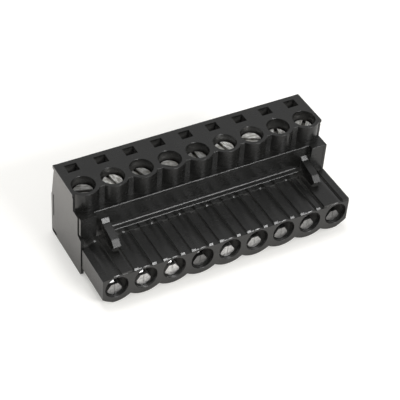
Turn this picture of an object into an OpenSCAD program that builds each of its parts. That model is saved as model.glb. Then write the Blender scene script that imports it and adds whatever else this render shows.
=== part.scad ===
// Pluggable terminal block: a row of screw clamps on one side, a row of
// round sockets on the other.  Two housings snap together round nine
// current bars.  Each slotted screw turns in place and lifts a clamp cage
// that squeezes the conductor up against the current bar.
// Frame: X along the row, Y from the mating face (-Y) to the conductor
// side (+Y), Z up.  Millimetres.  Origin: middle of the footprint, Z = 0
// on the standing face.

/* [Row] */
// Distance between neighbouring poles
pitch = 5.08; // [5:0.02:5.3]
// Plastic left outside the outermost half pitch, each end
end_margin = 0.04; // [0:0.02:1]

/* [Housings] */
// Height of the tower tops above the standing face
body_height = 15.08; // [14.9:0.02:16]
// Length of the mating part, from its face to the front wall
mating_length = 8.4; // [7.8:0.1:9.2]
// Depth of the clamping part, from the front wall to the rear face
clamp_depth = 11.2; // [11:0.1:12.2]
// Height of the ledge on the end blocks in front of the towers
ledge_height = 11.75; // [11.3:0.05:12.2]
// Height of the lip under the sunken front panel
lip_height = 7.38; // [7.1:0.02:8]
// How far the front panel is sunk behind the front wall
panel_sink = 0.95; // [0.6:0.05:1.1]
// Distance from the front panel back to the flat of the towers
tower_setback = 1.65; // [1.4:0.05:1.75]
// Radius of the rounded tower in front of each screw
tower_radius = 2.6; // [2.5:0.02:2.7]
// Width of each end block beside the sunken panel
end_block_width = 2.75; // [2.2:0.05:2.9]
// How far the contact housing stands back from the near end of the rim
near_inset = 0.24; // [0.15:0.01:0.4]
// How far it stands back from the far end of the rim
far_inset = 0.1; // [0.1:0.01:0.3]
// Thickness of the cheeks that wrap the ends of the contact housing
cheek_thickness = 0.6; // [0.5:0.05:0.75]
// Thickness of the rim round the tower tops
rim_thickness = 0.6; // [0.4:0.05:1]
// How far that rim stands proud of the ends
rim_overhang = 0.1; // [0.04:0.02:0.2]
// Height of the shadow groove under the rim
rim_groove = 0.24; // [0.1:0.02:0.4]
// Size of the small bevels on the front edges
edge_bevel = 0.06; // [0.04:0.01:0.14]
// Size of the bevel in the corner over the lip
lip_bevel = 0.08; // [0.04:0.01:0.14]
// Size of the fine bevels round the tower tops, bores and openings
top_bevel = 0.03; // [0.02:0.01:0.1]
// Play left between the two housings
housing_play = 0.05; // [0.02:0.01:0.08]

/* [Mating part] */
// Height of the flat between the sleeves on the mating part
mating_top = 5.88; // [5.7:0.02:6]
// How far each sleeve crown stands above that flat
sleeve_rise = 0.36; // [0.2:0.02:0.45]
// Height of the lowest point of the lobed underside
lobe_bottom = 0.5; // [0.3:0.01:0.7]
// Radius of the lobes under the mating part
lobe_radius = 4.2; // [3.8:0.1:4.8]
// Width of each contact opening
opening_width = 4; // [3.9:0.02:4.1]
// How far each opening and its crown stand off the axis of the pole
sleeve_offset = 0.12; // [0.04:0.02:0.14]
// Plastic left over the crown of each opening
crown_wall = 0.46; // [0.4:0.02:0.5]
// Plastic left under each opening
floor_wall = 1.06; // [0.9:0.02:1.1]
// Bevel round the front of each crown
crown_bevel = 0.12; // [0.06:0.02:0.26]
// Width of the two coding rails on each sleeve
rail_width = 0.72; // [0.5:0.02:0.8]
// Distance from the pole axis to the inner side of a rail
rail_offset = 1.2; // [1.15:0.01:1.3]
// Height of the rails above the flat
rail_rise = 0.36; // [0.3:0.02:0.5]
// Bevel at the front end of each rail
rail_bevel = 0.26; // [0.15:0.01:0.28]
// Height of the web that joins each crown to its near rail above the flat
web_rise = 0.28; // [0.1:0.02:0.32]
// Height of the wide band at the far end of the row above the flat
end_band_rise = 0.42; // [0.2:0.02:0.5]
// Depth of the steep bevel at the front end of that band
end_band_bevel = 0.16; // [0.06:0.02:0.3]

/* [Guide ribs] */
// Thickness of the two guide ribs
rib_thickness = 1.26; // [1:0.02:1.5]
// Height of the rib where it leaves the panel
rib_root_height = 9.68; // [9.2:0.02:10]
// Height of the rib nose
rib_nose_height = 8.38; // [8:0.02:8.6]
// How far the rib reaches in front of the panel
rib_reach = 4.78; // [4.3:0.02:5.2]

/* [Clamping part] */
// Diameter of the screwdriver bores in the towers
bore_diameter = 3.94; // [3.8:0.02:4]
// Distance from the front wall back to the screw axes
screw_setback = 4.15; // [4.1:0.01:4.2]
// Depth from the tower top down to the seat of the screw heads
seat_depth = 3.23; // [3.1:0.01:3.3]
// Width of the square test openings
probe_width = 2.06; // [1.8:0.02:2.2]
// Length of the test openings, front to back
probe_length = 1.8; // [1.6:0.02:1.9]
// Distance from the rear face forward to the middle of the test openings
probe_setback = 2.75; // [2.7:0.01:2.85]
// Radius of the round conductor tunnels
tunnel_radius = 1.6; // [1.4:0.02:1.62]
// Radius of the funnel mouth on the rear face
funnel_radius = 2.05; // [1.8:0.02:2.1]
// Depth of the funnel
funnel_depth = 1.3; // [0.8:0.1:1.8]
// Thickness of the floor under the clamp chambers
chamber_floor = 0.65; // [0.5:0.01:0.68]

/* [Screws] */
// Diameter of the screw heads
head_diameter = 3.4; // [3.3:0.02:3.5]
// Height of the screw heads
head_height = 1.3; // [1.1:0.05:1.5]
// Diameter of the screw shanks over the thread
shank_diameter = 2.9; // [2.6:0.02:2.9]
// Width of the driver slot
slot_width = 0.56; // [0.4:0.02:0.9]
// Depth of the driver slot
slot_depth = 0.6; // [0.4:0.05:0.9]
// Radial play of the thread in the clamp cage
thread_play = 0.05; // [0.03:0.01:0.08]
// Radial play of the shank in the seat of the housing
seat_play = 0.1; // [0.06:0.01:0.12]

/* [Clamp cages] */
// Outside width of a cage
cage_width = 3.9; // [3.8:0.02:3.94]
// Depth of a cage, front to back
cage_depth = 3.6; // [3.2:0.05:3.6]
// Thickness of the side walls of a cage
cage_side = 0.6; // [0.5:0.01:0.62]
// Thickness of the threaded top of a cage
cage_top = 1.5; // [1.2:0.05:1.6]
// Thickness of the floor of a cage
cage_floor = 0.7; // [0.6:0.01:0.72]
// Travel of a cage between open and clamped
cage_travel = 3; // [2:0.1:3]
// Play between a cage and its chamber
cage_play = 0.1; // [0.08:0.01:0.12]

/* [Contacts] */
// Width of the current bar
bar_width = 2.4; // [2.2:0.02:2.4]
// Thickness of the current bar
bar_thickness = 0.7; // [0.6:0.01:0.72]
// Height of the underside of the current bar
bar_height = 5.0; // [4.95:0.01:5.02]
// Play between the bar and its slots
bar_play = 0.05; // [0.03:0.01:0.06]
// Outside width of the socket fingers
socket_width = 2.84; // [2.7:0.02:2.9]
// Height of the socket fingers
socket_height = 2.2; // [2.1:0.02:2.26]
// Gap between the fingers for the mating pin
pin_gap = 1.2; // [1.1:0.02:1.3]
// Thickness of the nose where the fingers bend in
nose_thickness = 0.45; // [0.35:0.01:0.5]
// Slit between the two finger tips
finger_slit = 0.06; // [0.04:0.01:0.12]
// Bevel round the flat nose of the fingers
nose_bevel = 0.22; // [0.1:0.02:0.3]
// Width of the locking tongue over the fingers
tongue_width = 0.7; // [0.5:0.05:0.8]
// Height of the underside of the locking tongue
tongue_height = 4.46; // [4.36:0.02:4.46]
// How far the finger tips stand behind the mating face
socket_recess = 0.6; // [0.4:0.05:1]

/* [Hidden] */
$fn = 48;
eps = 0.01;
poles = 9;
plastic = [0.07, 0.07, 0.075];
steel = [0.78, 0.78, 0.78];
tin = [0.8, 0.8, 0.79];
half_row = poles * pitch / 2 + end_margin;
body_half = half_row - rim_overhang;
near_half = half_row - near_inset;
far_half = half_row - far_inset;
y_mating = -(mating_length + clamp_depth) / 2;
y_wall = y_mating + mating_length;
y_rear = y_wall + clamp_depth;
y_panel = y_wall + panel_sink;
y_tower = y_panel + tower_setback;
y_screw = y_wall + screw_setback;
y_probe = y_rear - probe_setback;
y_top_back = y_rear - 0.93;
y_slope_top = y_top_back - 0.28;
seat_z = body_height - seat_depth;
head_z = seat_z + 0.03;
step_height = 8.7;
// chambers
cage_y0 = y_screw - cage_depth / 2;
cage_y1 = y_screw + cage_depth / 2;
chamber_y0 = cage_y0 - cage_play;
chamber_y1 = cage_y1 + cage_play;
chamber_half = cage_width / 2 + cage_play;
cage_z0 = chamber_floor + cage_play;
cage_open0 = cage_z0 + cage_floor;
bar_top = bar_height + bar_thickness;
cage_open1 = bar_top + 0.15;
cage_z1 = cage_open1 + cage_top;
chamber_top = seat_z - 0.85;
tunnel_z = 3.05;
// current bar and socket
bar_tail = y_probe + probe_length / 2 - 0.05;
riser_thickness = 0.6;
tip_y = y_mating + socket_recess;
socket_r = socket_width / 2;
opening_r = opening_width / 2;
opening_z0 = lobe_bottom + floor_wall;
crown_z = mating_top + sleeve_rise;
opening_z1 = crown_z - crown_wall;
sleeve_r = opening_r + crown_wall;
socket_z0 = opening_z0 + 0.12;
// the foot of the nose is as wide as the round of its opening leaves room for
nose_foot = sqrt(pow(opening_r - 0.06, 2) - pow(opening_r - 0.12, 2)) - sleeve_offset;
nose_top = 0.4 * socket_r;
// cheeks and seam
cheek_y_high = y_wall + 0.85;
cheek_y_low = y_wall - 0.4;
cheek_step_z = 7.8;
seam_y = cheek_y_low - 0.22;
strip_gap = 0.2;
bar_root = seam_y - 0.3;
inner_half = half_row - cheek_thickness - housing_play;
panel_half = near_half - end_block_width;
land_top = mating_top + 0.5;
left_rib_x = pole_x(1) + 2.3;
right_rib_x = pole_x(poles) - 1.18;
lip_x0 = left_rib_x + rib_thickness / 2;
lip_x1 = right_rib_x - rib_thickness / 2 - 0.7;
// how far each locking tongue stands back from the nose of its socket
tongue_setback = [0, 0.1, 0.15, 0.2, 0.6, 0.6, 0.6, 0.3, 0.6];
// turn of each driver slot and height of each screw over its seat
slot_turn = [-20, 98, 108, 139, 90, 99, 151, 70, 50];
screw_lift = [0.5, 0.7, 0.3, 0.1, 0.25, 0.6, 0.8, 0.05, 0.2];

function pole_x(i) = (i - (poles + 1) / 2) * pitch;

// a box between two corners
module block(x0, x1, y0, y1, z0, z1) {
    translate([x0, y0, z0]) cube([x1 - x0, y1 - y0, z1 - z0]);
}

// a (y, z) outline carried along X
module along_x(x0, x1) {
    translate([x0, 0, 0]) rotate([90, 0, 90]) linear_extrude(x1 - x0) children();
}

// an (x, z) outline carried along Y
module along_y(y0, y1) {
    translate([0, y1, 0]) rotate([90, 0, 0]) linear_extrude(y1 - y0) children();
}

// ---------------------------------------------------------------- housings

// side outline of the clamp housing between its end cheeks
module clamp_outline() {
    b = edge_bevel;
    t = top_bevel;
    polygon([[y_panel, 0], [y_rear - 0.3, 0], [y_rear, 0.3],
        [y_rear, step_height - 0.35], [y_rear - 0.2, step_height],
        [y_slope_top, body_height - rim_thickness],
        [y_top_back, body_height - rim_thickness],
        [y_top_back, body_height - t], [y_top_back - t, body_height],
        [y_tower + t, body_height], [y_tower, body_height - t],
        [y_tower, ledge_height - 0.1], [y_panel + b, ledge_height - 0.1],
        [y_panel, ledge_height - 0.1 - b]]);
}

// one rounded tower in front of a screw
module tower(x) {
    translate([x, y_screw, ledge_height - 0.2])
        cylinder(r = tower_radius, h = body_height - ledge_height + 0.2 - top_bevel);
    translate([x, y_screw, body_height - top_bevel])
        cylinder(r1 = tower_radius, r2 = tower_radius - top_bevel, h = top_bevel);
}

// everything cut out of the clamp housing for one pole
module clamp_pole_cuts(x) {
    // driver bore with a beveled mouth, seat and chamber
    translate([x, y_screw, seat_z])
        cylinder(d = bore_diameter, h = body_height - seat_z + 1);
    translate([x, y_screw, body_height - top_bevel])
        cylinder(d1 = bore_diameter, d2 = bore_diameter + 2 * top_bevel, h = top_bevel + eps);
    translate([x, y_screw, chamber_top - 1])
        cylinder(r = shank_diameter / 2 + seat_play, h = 3);
    block(x - chamber_half, x + chamber_half, chamber_y0, chamber_y1,
        chamber_floor, chamber_top);
    // slot for the current bar, open to the front and the test opening
    block(x - bar_width / 2 - bar_play, x + bar_width / 2 + bar_play,
        y_panel - 1, bar_tail + bar_play, bar_height - bar_play, bar_top + bar_play);
    // test opening down to the tail of the bar
    block(x - probe_width / 2, x + probe_width / 2,
        y_probe - probe_length / 2, y_probe + probe_length / 2,
        bar_top, body_height + 1);
    // conductor tunnel and its funnel
    translate([x, chamber_y1 - 0.5, tunnel_z]) rotate([-90, 0, 0])
        cylinder(r = tunnel_radius, h = y_rear - chamber_y1 + 1);
    translate([x, y_rear - funnel_depth, tunnel_z]) rotate([-90, 0, 0])
        cylinder(r1 = tunnel_radius, r2 = funnel_radius, h = funnel_depth + eps);
}

// the stepped cheek that wraps the near end of the contact housing
module stepped_cheek() {
    along_x(-body_half, -half_row + cheek_thickness) polygon([[y_panel + 0.5, 0],
        [cheek_y_low + 0.2, 0], [cheek_y_low, 0.2], [cheek_y_low, cheek_step_z - 0.3],
        [cheek_y_high - 0.25, cheek_step_z], [cheek_y_high, cheek_step_z + 0.25],
        [cheek_y_high, ledge_height - 0.1], [y_panel + 0.5, ledge_height - 0.1]]);
}

// the straight cheek at the far end, flush with the front wall
module straight_cheek() {
    along_x(half_row - cheek_thickness, body_half) polygon([[y_panel + 0.5, 0],
        [y_wall + 0.2, 0], [y_wall, 0.2], [y_wall, ledge_height - 0.1 - top_bevel],
        [y_wall + top_bevel, ledge_height - 0.1], [y_panel + 0.5, ledge_height - 0.1]]);
}

module clamp_housing() color(plastic) difference() {
    union() {
        difference() {
            union() {
                along_x(-body_half, body_half) clamp_outline();
                for (i = [1 : poles]) tower(pole_x(i));
                stepped_cheek();
                straight_cheek();
            }
            // the towers stop flush with the ends
            for (s = [-1, 1]) translate([s * (body_half + 5), 0, body_height / 2])
                cube([10, 60, 40], center = true);
        }
        // rim round the top, proud of the ends
        for (s = [-1, 1]) along_y(y_tower, y_top_back)
            polygon([[s * (body_half - 0.5), body_height - rim_thickness],
                [s * half_row, body_height - rim_thickness],
                [s * half_row, body_height - top_bevel],
                [s * (half_row - top_bevel), body_height],
                [s * (body_half - 0.5), body_height]]);
    }
    for (i = [1 : poles]) clamp_pole_cuts(pole_x(i));
    for (s = [-1, 1]) {
        // shadow groove under the rim
        translate([s * half_row, (y_tower + y_top_back) / 2,
            body_height - rim_thickness - rim_groove / 2])
            cube([0.5, y_top_back - y_tower + 2, rim_groove], center = true);
        // shallow upright groove low on each end, at the back
        translate([s * half_row, y_rear - 0.85, 6.4])
            cube([0.36, 0.3, 4.6], center = true);
        // small finger notch below it
        translate([s * half_row, y_rear - 1.1, 0.5])
            cube([0.7, 1.7, 0.5], center = true);
    }
}

// front outline of the mating part below the crowns: a slab with lobes
module mating_outline() {
    difference() {
        union() {
            translate([-near_half, 2.2]) square([near_half + far_half, mating_top - 2.2]);
            for (i = [1 : poles]) intersection() {
                translate([pole_x(i), lobe_bottom + lobe_radius])
                    circle(r = lobe_radius, $fn = 96);
                lobe_span(i == 1 ? -near_half : pole_x(i) - pitch / 2 - eps,
                    i == poles ? far_half : pole_x(i) + pitch / 2 + eps);
            }
        }
        // both ends are rounded off below
        for (end = [[-1, near_half], [1, far_half]]) scale([end[0], 1]) polygon(
            [[end[1] - 1.7, 0], [end[1] + 1, 0], [end[1] + 1, 1.75], [end[1], 1.75],
             [end[1] - 0.45, 1.36], [end[1] - 1, 1], [end[1] - 1.7, 0.6]]);
    }
}

// the stretch of the row that one lobe fills
module lobe_span(x0, x1) {
    translate([x0, 0]) square([x1 - x0, 2.6]);
}

// the opening in one sleeve
module opening(x) {
    for (z = [opening_z0 + opening_r, opening_z1 - opening_r])
        translate([x, z]) circle(r = opening_r);
    translate([x - opening_r, opening_z0 + opening_r])
        square([opening_width, opening_z1 - opening_z0 - opening_width]);
}

// the round crown of one sleeve, standing out of the flat
module crown(x) {
    translate([x, y_mating, crown_z - sleeve_r]) rotate([-90, 0, 0])
        cylinder(r1 = sleeve_r - crown_bevel, r2 = sleeve_r, h = crown_bevel);
    translate([x, y_mating + crown_bevel - eps, crown_z - sleeve_r]) rotate([-90, 0, 0])
        cylinder(r = sleeve_r, h = mating_length - crown_bevel + 2 * eps);
}

// a raised bar on the mating part; its front end is beveled d deep, h high
module rail(x0, x1, rise, d, h) {
    along_x(x0, x1) polygon([[y_wall + eps, mating_top - 0.4],
        [y_mating + 0.02, mating_top - 0.4],
        [y_mating + 0.02, mating_top + rise - h],
        [y_mating + 0.02 + d, mating_top + rise],
        [y_wall + eps, mating_top + rise]]);
}

// coding rails beside each sleeve: the near end of the row has none on its
// outer side, the far end has one wide band out to the end
module rails() {
    for (i = [1 : poles]) {
        left = pole_x(i) - rail_offset;
        right = pole_x(i) + rail_offset;
        if (i > 1) {
            rail(left - rail_width, left, rail_rise, rail_bevel, rail_bevel);
            rail(left - eps, left + 0.5, web_rise, 0.1, 0.1);
        }
        if (i < poles) rail(right, right + rail_width, rail_rise, rail_bevel, rail_bevel);
        else rail(right + 0.1, far_half, end_band_rise, end_band_bevel, end_band_rise - 0.04);
    }
}

// side outline of the flange behind the front wall, with its lip on top: a
// bevel in the corner under the panel, and one along the front edge
module flange_outline(corner, front) {
    polygon([[y_panel, 0], [y_panel, lip_height + corner], [y_panel - corner, lip_height],
        [y_wall + front, lip_height], [y_wall, lip_height - front],
        [y_wall, 0.2], [y_wall + 0.2, 0]]);
}

// the space of the mating part: it narrows where the cheeks of the clamp
// housing reach round it, sooner at the near end than at the far end
module mating_space() {
    block(-near_half, far_half, y_mating - 1, seam_y, 0, body_height);
    block(-inner_half, far_half, seam_y - eps, y_wall - housing_play, 0, body_height);
    block(-inner_half, inner_half, seam_y - eps, y_wall + 1, 0, body_height);
}

// a guide rib: leaves the panel, runs out level and ends in a beveled nose
module guide_rib(x) {
    along_x(x - rib_thickness / 2, x + rib_thickness / 2) polygon([
        [y_panel, land_top - 0.2], [y_panel, rib_root_height],
        [y_panel - 0.57, rib_root_height - 0.58],
        [y_panel - rib_reach + 0.97, rib_nose_height],
        [y_panel - rib_reach, rib_nose_height - 0.9],
        [y_panel - rib_reach + 0.95, land_top - 0.2]]);
}

module contact_housing() color(plastic) difference() {
    union() {
        // only the stretch of the lip between the guide ribs has its bevels
        along_x(-inner_half, lip_x0) flange_outline(0.02, 0.02);
        along_x(lip_x0 - eps, lip_x1) flange_outline(lip_bevel, 0.6 * lip_bevel);
        along_x(lip_x1 - eps, inner_half) flange_outline(0.02, 0.02);
        // end blocks up to the ledge
        for (s = [-1, 1])
            along_x(min(s * panel_half, s * inner_half), max(s * panel_half, s * inner_half))
                polygon([[y_panel, 0.5], [y_panel, ledge_height],
                    [y_wall + top_bevel, ledge_height], [y_wall, ledge_height - top_bevel],
                    [y_wall, 0.5]]);
        // the strip seen beside the stepped cheek
        along_y(y_wall, cheek_y_high - strip_gap) polygon([
            [-panel_half, ledge_height], [-near_half, ledge_height],
            [-near_half, cheek_step_z + 0.5], [-near_half + 0.2, cheek_step_z + 0.22],
            [-panel_half, cheek_step_z + 0.22]]);
        // mating part: its body, the sleeve crowns, the rails and the lands
        // under the guide ribs
        intersection() {
            union() {
                along_y(y_mating, y_wall + eps) mating_outline();
                for (i = [1 : poles]) crown(pole_x(i) + sleeve_offset);
                rails();
                for (q = [[left_rib_x - 1.37, left_rib_x + 0.33],
                          [right_rib_x - 1.26, right_rib_x + 1.14]])
                    block(q[0], q[1], y_mating + 0.05, y_wall + eps, mating_top - 0.4, land_top);
            }
            mating_space();
        }
        guide_rib(left_rib_x);
        guide_rib(right_rib_x);
        // small wedges at the root of each sleeve
        for (i = [1 : poles]) along_x(pole_x(i) - 0.06, pole_x(i) + 0.24) polygon([
            [y_wall + eps, crown_z - 0.2], [y_wall + eps, crown_z + 0.2],
            [y_wall - 0.24, crown_z - 0.04], [y_wall - 0.24, crown_z - 0.2]]);
    }
    for (i = [1 : poles]) {
        // opening for the mating pin and its sleeve
        along_y(y_mating - 1, bar_root) opening(pole_x(i) + sleeve_offset);
        translate([0, y_mating - eps, 0]) mouth(pole_x(i) + sleeve_offset);
        // slot for the current bar
        block(pole_x(i) - bar_width / 2 - bar_play, pole_x(i) + bar_width / 2 + bar_play,
            bar_root - riser_thickness - bar_play, y_panel + 1,
            bar_height - bar_play, bar_top + bar_play);
    }
}

// fine bevel round the mouth of an opening
module mouth(x) {
    b = top_bevel;
    translate([x, 0, opening_z1 - opening_r]) rotate([-90, 0, 0])
        cylinder(r1 = opening_r + b, r2 = opening_r, h = b);
    translate([x, 0, opening_z0 + opening_r]) rotate([-90, 0, 0])
        cylinder(r1 = opening_r + b, r2 = opening_r, h = b);
}

// ------------------------------------------------------------- clamp parts

// slotted screw: head in the driver bore, shank through seat and cage
module terminal_screw(i) color(steel) {
    translate([pole_x(i), y_screw, head_z + screw_lift[i - 1]])
        rotate([0, 0, slot_turn[i - 1]]) difference() {
            union() {
                cylinder(d = head_diameter, h = head_height - 0.16);
                translate([0, 0, head_height - 0.16])
                    cylinder(d1 = head_diameter, d2 = head_diameter - 0.32, h = 0.16);
                translate([0, 0, -(head_z - bar_top - 0.1)])
                    cylinder(d = shank_diameter, h = head_z - bar_top - 0.1 + eps);
            }
            translate([-head_diameter, -slot_width / 2, head_height - slot_depth])
                cube([2 * head_diameter, slot_width, slot_depth + 1]);
        }
}

// rising cage: threaded top, open front and back, floor under the conductor
module clamp_cage(i) color(steel) {
    x = pole_x(i);
    difference() {
        block(x - cage_width / 2, x + cage_width / 2, cage_y0, cage_y1, cage_z0, cage_z1);
        block(x - cage_width / 2 + cage_side, x + cage_width / 2 - cage_side,
            cage_y0 - 1, cage_y1 + 1, cage_open0, cage_open1);
        // the bore also grooves the side walls, so the shank clears them
        translate([x, y_screw, cage_open1 - cage_travel - 0.5])
            cylinder(r = shank_diameter / 2 + thread_play, h = cage_top + cage_travel + 1.5);
    }
}

// ---------------------------------------------------------------- contacts

// front outline of the socket: a hexagon, pointed at both sides
module socket_hexagon() {
    point = 0.4 * socket_height;
    polygon([[-nose_foot, 0], [nose_foot, 0], [socket_r, point], [nose_top, socket_height],
        [-nose_top, socket_height], [-socket_r, point]]);
}

// current bar with a riser down to a two-finger socket
module socket_contact(i) color(tin) {
    x = pole_x(i);
    y_heel = bar_root - riser_thickness;
    block(x - bar_width / 2, x + bar_width / 2, y_heel, bar_tail, bar_height, bar_top);
    block(x - bar_width / 2, x + bar_width / 2, y_heel, bar_root,
        socket_z0 + 0.7, bar_height + eps);
    // two fingers bent inwards to a flat hexagonal nose with a fine slit
    intersection() {
        translate([x, 0, socket_z0 - 1]) linear_extrude(socket_height + 2) difference() {
            polygon([[-socket_r + nose_bevel, tip_y], [socket_r - nose_bevel, tip_y],
                [socket_r, tip_y + nose_bevel], [socket_r, y_heel + eps],
                [-socket_r, y_heel + eps], [-socket_r, tip_y + nose_bevel]]);
            translate([-pin_gap / 2, tip_y + nose_thickness]) square([pin_gap, y_heel - tip_y]);
            translate([-finger_slit / 2, tip_y - 1]) square([finger_slit, 2]);
        }
        along_y(tip_y - 1, bar_root) translate([x, socket_z0]) socket_hexagon();
    }
    // locking tongue over the fingers, off to one side, beveled in front
    y0 = tip_y + tongue_setback[i - 1] - 0.05;
    top = tongue_height + 0.5;
    along_x(x - tongue_width - 0.15, x - 0.15) polygon([[y_heel + 0.1, tongue_height],
        [y0, tongue_height], [y0, top - 0.4], [y0 + 0.4, top], [y_heel + 0.1, top]]);
}

clamp_housing();
contact_housing();
terminal_screw(1);  // terminal_screw_1
terminal_screw(2);  // terminal_screw_2
terminal_screw(3);  // terminal_screw_3
terminal_screw(4);  // terminal_screw_4
terminal_screw(5);  // terminal_screw_5
terminal_screw(6);  // terminal_screw_6
terminal_screw(7);  // terminal_screw_7
terminal_screw(8);  // terminal_screw_8
terminal_screw(9);  // terminal_screw_9
clamp_cage(1);  // clamp_cage_1
clamp_cage(2);  // clamp_cage_2
clamp_cage(3);  // clamp_cage_3
clamp_cage(4);  // clamp_cage_4
clamp_cage(5);  // clamp_cage_5
clamp_cage(6);  // clamp_cage_6
clamp_cage(7);  // clamp_cage_7
clamp_cage(8);  // clamp_cage_8
clamp_cage(9);  // clamp_cage_9
socket_contact(1);  // socket_contact_1
socket_contact(2);  // socket_contact_2
socket_contact(3);  // socket_contact_3
socket_contact(4);  // socket_contact_4
socket_contact(5);  // socket_contact_5
socket_contact(6);  // socket_contact_6
socket_contact(7);  // socket_contact_7
socket_contact(8);  // socket_contact_8
socket_contact(9);  // socket_contact_9
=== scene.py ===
# %% [markdown]
# # A pluggable terminal block
# The object is a row of nine screw clamps on one side and nine round plug
# sockets on the other, in two black moulded shells.  The CAD model is loaded
# as a fixed frame: its two shells, nine clamp cages and nine contacts are
# already the right shape, so here they get their finishes.  The nine screws
# are made again with rounded edges, turning marks and a real thread, because
# a driver slot is what the eye goes to first.

# %% Load the frame and note its box
import bpy, math
import numpy as np
from mathutils import Matrix, Vector


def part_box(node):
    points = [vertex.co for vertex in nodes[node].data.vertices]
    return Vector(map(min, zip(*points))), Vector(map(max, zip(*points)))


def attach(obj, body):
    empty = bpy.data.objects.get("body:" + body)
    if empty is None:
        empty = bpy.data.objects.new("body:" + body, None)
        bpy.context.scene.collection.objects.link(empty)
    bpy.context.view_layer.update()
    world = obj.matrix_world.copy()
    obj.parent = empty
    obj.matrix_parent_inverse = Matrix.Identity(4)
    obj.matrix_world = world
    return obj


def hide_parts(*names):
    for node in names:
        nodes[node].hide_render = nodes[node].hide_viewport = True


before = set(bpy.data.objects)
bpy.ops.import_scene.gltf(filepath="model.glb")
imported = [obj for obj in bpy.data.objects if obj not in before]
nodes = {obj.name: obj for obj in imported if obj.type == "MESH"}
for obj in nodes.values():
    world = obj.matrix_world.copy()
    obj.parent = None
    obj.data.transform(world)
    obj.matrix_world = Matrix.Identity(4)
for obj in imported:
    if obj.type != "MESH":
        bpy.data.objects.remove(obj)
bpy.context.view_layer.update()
MM = 0.001
scene = bpy.context.scene

# %% [markdown]
# ## Camera
# A product shot of a small part is taken with a long lens from a fair
# distance, a little above the part and to one side of its front.  The camera
# is placed by its bearing, its height angle and its distance from the point
# that it looks at, and turned a few degrees about its own line of sight.  It
# could track a helper object instead, but a matrix made of three directions
# needs no helper and holds that last turn too.

# %% Place the camera
bearing, height_angle, roll = (math.radians(a) for a in (31.34, 42.48, 4.79))
distance = 214.2 * MM
aim = Vector((-1.01, -0.95, 7.53)) * MM
back = Vector((-math.sin(bearing) * math.cos(height_angle),
               -math.cos(bearing) * math.cos(height_angle), math.sin(height_angle)))
right = Vector((math.cos(bearing), -math.sin(bearing), 0))
up = back.cross(right)
right_r = right * math.cos(roll) + up * math.sin(roll)
up_r = back.cross(right_r)
camera_data = bpy.data.cameras.new("product_camera")
camera_data.sensor_width = 36
camera_data.lens = 117.3
camera_data.clip_start = 0.005
camera = bpy.data.objects.new("product_camera", camera_data)
scene.collection.objects.link(camera)
turn = Matrix((right_r, up_r, back)).transposed().to_4x4()
camera.matrix_world = Matrix.Translation(aim + back * distance) @ turn
scene.camera = camera
scene.view_settings.view_transform = "Standard"
print("camera stands at", [round(c / MM, 1) for c in camera.matrix_world.translation], "mm")

# %% [markdown]
# ## Shader maths as plain expressions
# Most of a finish is arithmetic on numbers that vary over the surface.  Adding
# and linking each Math node by hand takes three lines for every sum.  The
# class below wraps a node's output, so `1 - mask * 0.5` adds the Math nodes by
# itself.  Every other node comes from the one method `node` of a finish.

# %% A number that varies over a surface
class Varying:
    """A node's output.  Where it carries a number, + - * and ** add Math nodes."""

    def __init__(self, finish, socket):
        self.finish, self.socket = finish, socket

    def maths(self, operation, *others):
        return self.finish.node("ShaderNodeMath", {"operation": operation},
                                **{str(k): v for k, v in enumerate(others)})

    def __add__(self, other):
        return self.maths("ADD", self, other)

    def __radd__(self, other):
        return self.maths("ADD", other, self)

    def __sub__(self, other):
        return self.maths("SUBTRACT", self, other)

    def __rsub__(self, other):
        return self.maths("SUBTRACT", other, self)

    def __mul__(self, other):
        return self.maths("MULTIPLY", self, other)

    def __rmul__(self, other):
        return self.maths("MULTIPLY", other, self)

    def __pow__(self, other):
        return self.maths("POWER", self, other)

    def __rpow__(self, other):
        return self.maths("POWER", other, self)


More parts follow.
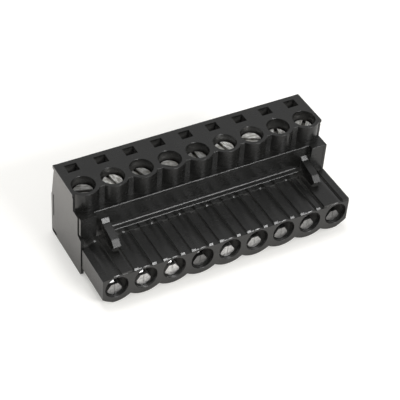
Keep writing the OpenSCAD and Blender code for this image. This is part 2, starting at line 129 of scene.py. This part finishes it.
# %% A finish under construction
class Finish:
    """A material or a world; node() adds a node, sets it and fills its sockets."""

    def __init__(self, owner):
        self.owner = owner
        owner.use_nodes = True
        self.tree = owner.node_tree
        self.tree.nodes.clear()

    def put(self, socket, value):
        """Links another node's output, or writes a plain value."""
        if isinstance(value, Varying):
            self.tree.links.new(value.socket, socket)
        else:
            socket.default_value = value

    def node(self, kind, settings=None, out=0, **sockets):
        """Adds one node.  Settings go first, then sockets by name or number.

        It hands back the output called out, or nothing for an output node.
        """
        made = self.tree.nodes.new(kind)
        for key, value in (settings or {}).items():
            if key == "stops":
                while len(made.color_ramp.elements) < len(value):
                    made.color_ramp.elements.new(1.0)
                for stop, (position, colour) in zip(made.color_ramp.elements, value):
                    stop.position, stop.color = position, colour
            else:
                setattr(made, key, value)
        for key, value in sockets.items():
            self.put(made.inputs[int(key) if key.isdigit() else key], value)
        return Varying(self, made.outputs[out]) if made.outputs else None

    def place(self):
        """Object coordinates in millimetres as one vector."""
        where = self.node("ShaderNodeTexCoord", out="Object")
        return self.node("ShaderNodeVectorMath", {"operation": "SCALE"}, Vector=where, Scale=1 / MM)

    def axis(self, where, letter):
        """The X, Y or Z of a vector as a varying number."""
        return self.node("ShaderNodeSeparateXYZ", out=letter, Vector=where)

    def noise(self, where, scale, detail=2.0, roughness=0.5):
        """Fractal noise, with scale in lumps per millimetre."""
        return self.node("ShaderNodeTexNoise", Vector=where, Scale=scale,
                         Detail=detail, Roughness=roughness)

    def ease(self, value, start, end, low=0.0, high=1.0):
        """Runs evenly from low at start to high at end, and stays there."""
        return self.node("ShaderNodeMapRange", {"clamp": True}, Value=value,
                         **{"From Min": start, "From Max": end, "To Min": low, "To Max": high})

    def closed_in(self, reach, start, end, most=1.0):
        """Up to most where surfaces within reach mm hide all but start of the view.

        It falls to 0 where the share of open directions comes up to end.
        """
        open_share = self.node("ShaderNodeAmbientOcclusion", {"samples": 8}, out="AO",
                               Distance=reach * MM)
        return self.ease(open_share, start, end, most, 0.0)

    def mix(self, share, first, second):
        """A colour part of the way from the first to the second."""
        return self.node("ShaderNodeMix", {"data_type": "RGBA"}, out=2,
                         **{"0": share, "6": first, "7": second})

    def finish(self, shader):
        """Joins the shader to the output and returns the material."""
        self.node("ShaderNodeOutputMaterial", Surface=shader)
        return self.owner


# %% [markdown]
# ## Table
# The part lies on matt white paper, a flat square whose edge is far outside
# the view.  For the camera it gives a little light of its own, so it reads as
# white and still keeps the shadow.  Brighter lamps would whiten it too, but
# they would bleach the part.  Black plastic shows little but what it mirrors,
# so a painted reflection is laid on the table for glossy rays only: a warm glow
# that grows towards the back left, and a weaker glow in front of the part.  No
# lamp lights these; they show only in what the part mirrors.

# %% White table
table_paper = Finish(bpy.data.materials.new("table_paper"))
seen = table_paper.node("ShaderNodeLightPath", out="Is Camera Ray")
mirrored = table_paper.node("ShaderNodeLightPath", out="Is Glossy Ray")
on_table = table_paper.place()
to_right, to_back = (table_paper.axis(on_table, letter) for letter in "XY")
# Painted reflection: a glow that only glossy rays see, towards the back left and in front, lit by no lamp.
painted_side_reflection = table_paper.ease(to_back * 0.3 - to_right, 19.0, 42.0, 0.0, 0.44)
painted_side_reflection *= table_paper.ease(to_back, -7.0, -3.0)
painted_front_reflection = table_paper.ease(to_back, -7.5, -10.5, 0.0, 0.115)
painted_front_reflection *= table_paper.ease(to_right, -31.0, -26.0)
painted_front_reflection *= table_paper.ease(to_right, 28.0, 20.0)
black, paper_white = (0, 0, 0, 1), (0.80, 0.79, 0.77, 1)
paper_glow, painted_reflection_colour = (0.29, 0.29, 0.28, 1), (2.0, 1.90, 1.76, 1)
glow_and_painted_reflection = table_paper.mix(seen, black, paper_glow)
glow_and_painted_reflection = table_paper.mix(mirrored, glow_and_painted_reflection, table_paper.mix(painted_side_reflection + painted_front_reflection, black, painted_reflection_colour))
paper = table_paper.finish(table_paper.node("ShaderNodeBsdfPrincipled", **{
    "Base Color": paper_white, "Roughness": 1.0, "Specular IOR Level": 0.0,
    "Emission Color": glow_and_painted_reflection, "Emission Strength": 1.0}))
half_table = 3.0
corners = [(half_table * x, half_table * y, 0) for x, y in ((-1, -1), (1, -1), (1, 1), (-1, 1))]
table_mesh = bpy.data.meshes.new("table")
table_mesh.from_pydata(corners, [], [(0, 1, 2, 3)])
table_mesh.materials.append(paper)
table_top = bpy.data.objects.new("table", table_mesh)
scene.collection.objects.link(table_top)
print("table is", 2 * half_table, "m square")

# %% [markdown]
# ## Walls
# The room is a grey that changes with height: palest at the horizon, darkest
# three quarters of the way up.  An image of a room could stand in for it, but
# smooth plastic would mirror its details, and a ramp of a few greys leaves
# only the soft change of tone that is wanted.

# %% Pale studio walls
studio = Finish(bpy.data.worlds.new("pale_studio"))
scene.world = studio.owner
rise = studio.axis(studio.node("ShaderNodeTexCoord", out="Generated"), "Z")
wall_stops = [(0.0, 0.36), (0.40, 0.33), (0.64, 0.275), (0.78, 0.265), (0.92, 0.27), (1.0, 0.30)]
stops = [(level, (pale, pale, pale, 1)) for level, pale in wall_stops]
walls = studio.node("ShaderNodeValToRGB", {"stops": stops}, Fac=rise)
wall_strength = 2.0
glow = studio.node("ShaderNodeBackground", Color=walls, Strength=wall_strength)
studio.node("ShaderNodeOutputWorld", Surface=glow)
print("wall greys from the floor up:", [round(wall_strength * pale, 2) for level, pale in wall_stops])

# %% [markdown]
# ## Lamps
# Each lamp is a rectangle, as a studio softbox is, because a point lamp leaves
# only a dot on a bevel.  A long box in front draws the bevels and the round
# metal noses that face it.  A weak one at the back left draws the bevels that
# face left.  The third hangs high over the back, where no shiny face mirrors
# it to the camera, so it shows on little but the rough screw heads.

# %% Soft lamps
def soft_lamp(name, bearing_deg, rise_deg, away, width, height, radiance):
    """A rectangle of width by height metres, away metres off, facing the part.

    Its power is radiance times area times pi.
    """
    lamp = bpy.data.lights.new(name, "AREA")
    lamp.shape, lamp.size, lamp.size_y = "RECTANGLE", width, height
    lamp.energy = radiance * width * height * math.pi
    b, r = math.radians(bearing_deg), math.radians(rise_deg)
    out = Vector((math.sin(b) * math.cos(r), math.cos(b) * math.cos(r), math.sin(r)))
    holder = bpy.data.objects.new(name, lamp)
    scene.collection.objects.link(holder)
    facing = out.to_track_quat("Z", "Y").to_matrix().to_4x4()
    holder.matrix_world = Matrix.Translation(out * away) @ facing
    print(name, "power", round(lamp.energy, 2), "W")


soft_lamp("key_softbox", bearing_deg=159.5, rise_deg=34.4, away=0.9, width=0.34, height=0.14, radiance=27.0)
soft_lamp("left_back_strip", bearing_deg=-47, rise_deg=24, away=1.0, width=0.30, height=0.22, radiance=3.0)
soft_lamp("high_back", bearing_deg=-5, rise_deg=78, away=0.8, width=0.26, height=0.22, radiance=9.5)

# %% [markdown]
# ## Black moulded plastic
# The shells are glass-filled polyamide, dyed through.  The colour is nearly
# black, and what the eye reads is the satin sheen.  A fine grain from the
# spark-eroded mould breaks the sheen up, slow waves follow the flow of the
# melt, and handling leaves a few paler scuffs.  Where the surface is closed in,
# deep in bores and a little in grooves and corners, the colour turns paler: some
# dust, and painted fill light that lifts the shade there.  Texture images could
# hold all this.  Noise on Object coordinates needs no unwrapping, and Ambient
# Occlusion, the share of open directions, finds where the paler colour goes.

# %% Plastic finish
def moulded_plastic(name, scuff, dust_and_painted_fill_paleness, crease_dust_and_painted_fill_paleness):
    """Black plastic: scuff says how many scuffs, the other two how pale the dust and painted fill light in
    hollows and creases are.
    """
    f = Finish(bpy.data.materials.new(name))
    where = f.place()
    flow = f.noise(where, 0.22, 3, 0.55)
    grain = f.noise(where, 9.0, 3, 0.6)
    stretched = f.node("ShaderNodeMapping", Vector=where, Scale=(0.5, 3.2, 1.4), Rotation=(0.3, 0.2, 0.5))
    rubbed = f.ease(f.noise(stretched, 1.6, 5, 0.75), 0.60, 0.78)
    haze = f.ease(f.noise(where, 2.6, 4, 0.7), 0.52, 0.80)
    deep_black, soft_black = (0.0062, 0.0062, 0.0058, 1), (0.0095, 0.0095, 0.0088, 1)
    scuffed = (0.028, 0.028, 0.026, 1)
    colour = f.mix(flow, deep_black, soft_black)
    colour = f.mix(haze * scuff * 0.5, colour, scuffed)
    # Dust and painted fill light: paler where deep hollows close the surface in, lifting their shade.
    dust_and_painted_fill = (dust_and_painted_fill_paleness, 0.98 * dust_and_painted_fill_paleness, 0.93 * dust_and_painted_fill_paleness, 1)
    colour = f.mix(f.closed_in(4.0, 0.05, 0.42), colour, dust_and_painted_fill)
    # Dust and painted fill light in creases: lifts the shade of narrow grooves and corners.
    crease_dust_and_painted_fill = (crease_dust_and_painted_fill_paleness, crease_dust_and_painted_fill_paleness, 0.96 * crease_dust_and_painted_fill_paleness, 1)
    colour = f.mix(f.closed_in(0.6, 0.40, 0.72), colour, crease_dust_and_painted_fill)
    rough = 0.20 + flow * 0.08 + grain * 0.04 + rubbed * 0.10
    bump = f.node("ShaderNodeBump", Strength=0.35, Distance=0.02 * MM,
                  Height=grain * 0.5 + flow * 0.8)
    shader = f.node("ShaderNodeBsdfPrincipled", **{
        "Base Color": colour, "Roughness": rough, "IOR": 1.53, "Normal": bump})
    return f.finish(shader)


def dress(node_name, material):
    """Gives a CAD node one material and leaves its mesh as it is."""
    mesh = nodes[node_name].data
    mesh.materials.clear()
    mesh.materials.append(material)


clamp_plastic = moulded_plastic("clamp_shell_plastic", scuff=1.0,
                                dust_and_painted_fill_paleness=0.10, crease_dust_and_painted_fill_paleness=0.02)
contact_plastic = moulded_plastic("contact_shell_plastic", scuff=0.8,
                                  dust_and_painted_fill_paleness=0.24, crease_dust_and_painted_fill_paleness=0.055)
for node_name, material in (("clamp_housing", clamp_plastic), ("contact_housing", contact_plastic)):
    dress(node_name, material)
    print(node_name, len(nodes[node_name].data.polygons), "faces")

# %% [markdown]
# ## Contacts and cages
# The contacts are stamped from copper alloy and tinned: a soft grey with
# slightly cloudy patches, paler on one contact than on the next.  The cages
# are nickel plated and come from a press, with straight drawing marks.  An
# anisotropic shader could stretch the gloss along the marks.  Noise squeezed
# along one axis does it in roughness and bump, which also survive a bake.

# %% Tin and nickel
def plated(name, pale, deep, base_rough, streak, mottle, relief):
    """Plated metal that clouds over from deep to pale.

    Mottle is the number of clouds in a millimetre, streak says how much finer
    the drawn lines are along x, y and z, and relief is their depth in mm.
    """
    f = Finish(bpy.data.materials.new(name))
    where = f.place()
    cloud = f.ease(f.noise(where, mottle, 4, 0.6), 0.34, 0.66)
    drawn = f.node("ShaderNodeMapping", Vector=where, Scale=streak)
    lines = f.noise(drawn, 3.0, 4, 0.7)
    colour = f.mix(cloud, deep, pale)
    rough = base_rough + cloud * 0.10 + lines * 0.12
    bump = f.node("ShaderNodeBump", Strength=0.25, Distance=relief * MM, Height=lines + cloud * 0.4)
    shader = f.node("ShaderNodeBsdfPrincipled", **{
        "Base Color": colour, "Roughness": rough, "Metallic": 1.0, "Normal": bump})
    return f.finish(shader)


nickel = plated("nickel_cage", (0.64, 0.62, 0.58, 1), (0.50, 0.49, 0.47, 1),
                base_rough=0.20, streak=(6.0, 6.0, 0.4), mottle=1.3, relief=0.01)
tin_paleness = [0.34, 0.58, 0.66, 0.19, 0.58, 0.45, 0.31, 0.29, 0.20]
for number, tone in enumerate(tin_paleness, 1):
    tin = plated(f"tin_{number}", (1.3 * tone, 1.3 * tone, 1.29 * tone, 1),
                 (0.72 * tone, 0.72 * tone, 0.72 * tone, 1),
                 base_rough=0.30, streak=(4.0, 4.0, 3.0), mottle=2.4, relief=0.03)
    dress(f"socket_contact_{number}", tin)
    dress(f"clamp_cage_{number}", nickel)
print("tin and nickel on", len(tin_paleness), "poles")

# %% [markdown]
# ## Screws
# The CAD screws are plain cylinders with a slot.  The ones seen here are read
# off them: the same axis, slot, head and shank.  They get rounded edges, a
# slot with softened lips, turning marks and a real thread.  A Boolean cut and
# a Bevel modifier could do the head, but not the thread.  Here each screw is
# four closed skins worked out from formulas, which reach a little into each
# other where nothing shows: two half heads, a disc and a threaded shank.

# %% Read one CAD screw
def read_screw(node_name):
    """The sizes in mm of one CAD screw, found from the corners of its mesh.

    No two levels of the screw are closer than ledge.
    """
    ledge = 0.05
    mesh = nodes[node_name].data
    corners = np.empty(3 * len(mesh.vertices))
    mesh.vertices.foreach_get("co", corners)
    corners = corners.reshape(-1, 3) / MM
    low, high = (np.array(c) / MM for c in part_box(node_name))
    x, y = (low[0] + high[0]) / 2, (low[1] + high[1]) / 2
    z = corners[:, 2]
    out = np.hypot(corners[:, 0] - x, corners[:, 1] - y)
    shank = out[z < low[2] + ledge].max()
    under_head = z[out > shank + ledge].min()
    slot_floor = z[z > under_head + ledge].min()
    rim = corners[abs(z - slot_floor) < ledge][:, :2] - (x, y)
    along = np.linalg.svd(rim, full_matrices=False)[2][0]
    width = 2 * abs(rim @ np.array([-along[1], along[0]])).max()
    return dict(x=x, y=y, low=low[2], high=high[2], head=out.max(), shank=shank,
                under_head=under_head, slot_floor=slot_floor, slot=width,
                turn=math.atan2(along[1], along[0]))


screws = [read_screw(f"terminal_screw_{i}") for i in range(1, 10)]
pitch = screws[1]["x"] - screws[0]["x"]
print("pitch", round(pitch, 3), "mm")
print("slots turned", [round(math.degrees(s["turn"])) for s in screws], "degrees")


# %% Closed lofts
def loft(rings):
    """Joins rings of equal length (rings x points x 3) into one closed skin.

    Point k of ring j is joined to point k + 1 and to the next ring; each open
    end is closed by a fan about the middle of its ring.
    """
    rings = np.asarray(rings, float)
    rows, count = rings.shape[:2]
    k = np.arange(count)
    nxt = (k + 1) % count
    first = (np.arange(rows - 1) * count)[:, None]
    quads = np.stack([first + k, first + nxt, first + count + nxt, first + count + k], 2).reshape(-1, 4)
    points = np.vstack([rings.reshape(-1, 3), rings[0].mean(0), rings[-1].mean(0)])
    last, middle = (rows - 1) * count, np.full(count, rows * count)
    fans = np.vstack([np.column_stack([middle, nxt, k]),
                      np.column_stack([middle + 1, last + k, last + nxt])])
    return points, quads, fans


def facing_out(points, quads, fans):
    """Turns every face over if the skin's signed volume comes out negative."""
    tris = np.vstack([fans, quads[:, :3], quads[:, [0, 2, 3]]])
    a, b, c = (points[tris[:, n]] for n in range(3))
    volume = np.einsum("ij,ij->i", a, np.cross(b, c)).sum()
    return (quads, fans) if volume > 0 else (quads[:, ::-1], fans[:, ::-1])


def solid(name, skins, material):
    """Makes one smooth-shaded mesh piece in metres out of several closed skins."""
    points, faces, start = [], [], 0
    for skin in skins:
        for group in facing_out(*skin):
            faces += (group + start).tolist()
        points.append(skin[0])
        start += len(skin[0])
    mesh = bpy.data.meshes.new(name)
    mesh.from_pydata((np.vstack(points) * MM).tolist(), [], faces)
    mesh.shade_smooth()
    mesh.materials.append(material)
    piece = bpy.data.objects.new(name, mesh)
    scene.collection.objects.link(piece)
    return piece


# %% Screw shapes
edge_round = 0.14
slot_round = 0.05
disc_round = 0.08
disc_chamfer = 0.02
buried = 0.05
fan_radius = 0.6
thread_pitch = 0.5
thread_depth = 0.22


def half_head(s):
    """One half of the head beside the slot: a D outline, pulled in at the top edge.

    Pulling the D in by e puts its chord at half the slot plus e and its arc
    at the head radius minus e.  The top edge follows a quarter circle.  Three
    rings stand under it: in the disc, at the slot floor and below the round.
    """
    angle = np.linspace(0, math.pi / 2, 7)
    shoulder = s["high"] - edge_round
    lower = [(0.03, s["slot_floor"] - buried), (0.0, s["slot_floor"] + 0.005), (0.0, shoulder - 0.05)]
    upper = np.column_stack([edge_round * (1 - np.cos(angle)), shoulder + edge_round * np.sin(angle)])
    pulled, height = np.vstack([lower, upper]).T
    radius = (s["head"] - pulled)[:, None]
    chord = (s["slot"] / 2 + np.minimum(pulled, slot_round))[:, None]
    start = np.arcsin(chord / radius)
    arc = start + (math.pi - 2 * start) * np.linspace(0, 1, 49)
    flat = radius * np.cos(start) * np.linspace(-1, 1, 25)[1:-1]
    x = np.hstack([radius * np.cos(arc), flat])
    y = np.hstack([radius * np.sin(arc), chord + 0 * flat])
    rings = np.stack([x, y, height[:, None] + 0 * x], 2)
    middle = rings[-1].mean(0)
    shrink = np.array([0.985, 0.7, 0.3])[:, None, None]
    return loft(np.concatenate([rings, middle + (rings[-1] - middle) * shrink]))


def turned(radius, height, around):
    """Carries a profile round the axis: x is radius times cosine, y radius times sine."""
    return np.stack([radius * np.cos(around), radius * np.sin(around), height + 0 * around], 2)


def head_disc(s):
    """The part of the head below the slot floor, with a rounded lower edge.

    The profile runs from the slot floor down the rim, round a quarter circle
    and in under the head to the shank, where it ends buried.
    """
    r, top, bottom, shank = s["head"], s["slot_floor"], s["under_head"], s["shank"]
    angle = np.linspace(0, math.pi / 2, 5)
    rim = [(fan_radius, top), (r - disc_chamfer, top), (r, top - disc_chamfer), (r, bottom + 0.1)]
    edge = np.column_stack([r - disc_round * (1 - np.cos(angle)),
                            bottom + disc_round * (1 - np.sin(angle))])
    under = [(shank - 0.15, bottom), (shank - 0.2, bottom - buried), (fan_radius, bottom - 0.4)]
    radius, height = np.vstack([rim, edge, under]).T[:, :, None]
    return loft(turned(radius, height, np.linspace(0, 2 * math.pi, 72, endpoint=False)))


def threaded_shank(s):
    """The shank: its radius follows one V a pitch, shifted a pitch each turn.

    The share of a turn goes from 0 to 1 round the axis; height over pitch
    minus that share gives the place in the V.  The thread fades at both ends.
    """
    top, bottom, tip_round = s["under_head"] + 0.1, s["low"], 0.05
    rings_a_pitch = 12
    turns = int((top - bottom) / thread_pitch)
    z = np.linspace(bottom + tip_round, top, rings_a_pitch * turns)[:, None]
    around = np.linspace(0, 2 * math.pi, 48, endpoint=False)
    phase = (z / thread_pitch - around / (2 * math.pi)) % 1.0
    vee = abs(2 * phase - 1)
    fade = np.clip((z - bottom - tip_round) / 0.5, 0, 1) * np.clip((top - 0.5 - z) / 0.3, 0, 1)
    radius = s["shank"] - thread_depth + thread_depth * vee * fade
    rings = turned(radius, z, around)
    tip = rings[0] * (0.8, 0.8, 0) + (0, 0, bottom)
    return loft(np.concatenate([tip[None], rings]))


# %% [markdown]
# ## Screw steel
# The screws are turned from steel and zinc plated, so fine rings run round the
# axis of each.  Drivers have left strokes along the slot.  Where the screw is
# closed in, in the slot and down in its seat, the colour is darkened: painted
# shade.  The rings are a sine of the radius.  The strokes are a noise squeezed
# across the slot: a Mapping node of the Texture kind turns first and squeezes
# after, so the strokes follow the slot, which a Point mapping would not do.

# %% Screw steel
def turned_steel(s, number, pale):
    """Zinc plated steel: marks round the axis, strokes along the slot, painted shade in it."""
    f = Finish(bpy.data.materials.new(f"screw_steel_{number}"))
    where = f.place()
    dx = f.axis(where, "X") - s["x"]
    dy = f.axis(where, "Y") - s["y"]
    radius = (dx * dx + dy * dy) ** 0.5
    wander = f.noise(where, 2.0) * 3.0
    rings = f.node("ShaderNodeMath", {"operation": "SINE"}, Value=radius * 55.0 + wander)
    cloud = f.noise(where, 1.1, 4, 0.6)
    fine = f.noise(where, 7.0, 3, 0.6)
    along = f.node("ShaderNodeMapping", {"vector_type": "TEXTURE"}, Vector=where,
                   Rotation=(0.0, 0.0, s["turn"] + 0.12), Scale=(1.25, 0.22, 1.25))
    strokes = f.noise(along, 1.1, 4, 0.6)
    tone = f.ease(strokes * 0.7 + cloud * 0.3, 0.42, 0.60)
    dull_zinc, bright_zinc = (0.34 * pale, 0.33 * pale, 0.30 * pale, 1), (pale, pale, 0.98 * pale, 1)
    specks, painted_slot_shade = (0.50, 0.47, 0.40, 1), (0.10, 0.09, 0.075, 1)
    colour = f.mix(tone, dull_zinc, bright_zinc)
    colour = f.mix(f.ease(fine, 0.58, 0.75) * 0.4, colour, specks)
    # Painted shade: darker where the slot and the seat close the screw in.
    colour = f.mix(f.closed_in(0.6, 0.35, 0.80, 0.85), colour, painted_slot_shade)
    rough = 0.44 + cloud * 0.10 + fine * 0.06
    bump = f.node("ShaderNodeBump", Strength=0.6, Distance=0.010 * MM,
                  Height=rings + cloud * 1.5 + strokes * 5.0)
    shader = f.node("ShaderNodeBsdfPrincipled", **{
        "Base Color": colour, "Roughness": rough, "Metallic": 1.0, "Normal": bump})
    return f.finish(shader)


# %% [markdown]
# ## Nine screws in their seats
# Each screw is worked out upright at the origin, turned to its slot's angle
# and moved to its pole in its own points.  The object could be moved instead,
# but then the finish would slide, since it reads Object coordinates.  The
# screw then rides on the body that turns, in place of the CAD screw.

# %% Place the nine screws
steel_paleness = [0.40, 0.95, 0.54, 0.68, 0.44, 0.98, 1.0, 0.74, 0.84]
for number, s in enumerate(screws, 1):
    c, n = math.cos(s["turn"]), math.sin(s["turn"])
    spin = np.array([[c, n, 0], [-n, c, 0], [0, 0, 1]])
    half = half_head(s)
    other_half = (half[0] * (-1, -1, 1), *half[1:])
    skins = [half, other_half, head_disc(s), threaded_shank(s)]
    skins = [(points @ spin + (s["x"], s["y"], 0), *faces) for points, *faces in skins]
    piece = solid(f"slotted_screw_{number}", skins, turned_steel(s, number, steel_paleness[number - 1]))
    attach(piece, f"screw_{number}")
    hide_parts(f"terminal_screw_{number}")
print("nine screws,", len(piece.data.polygons), "faces each")
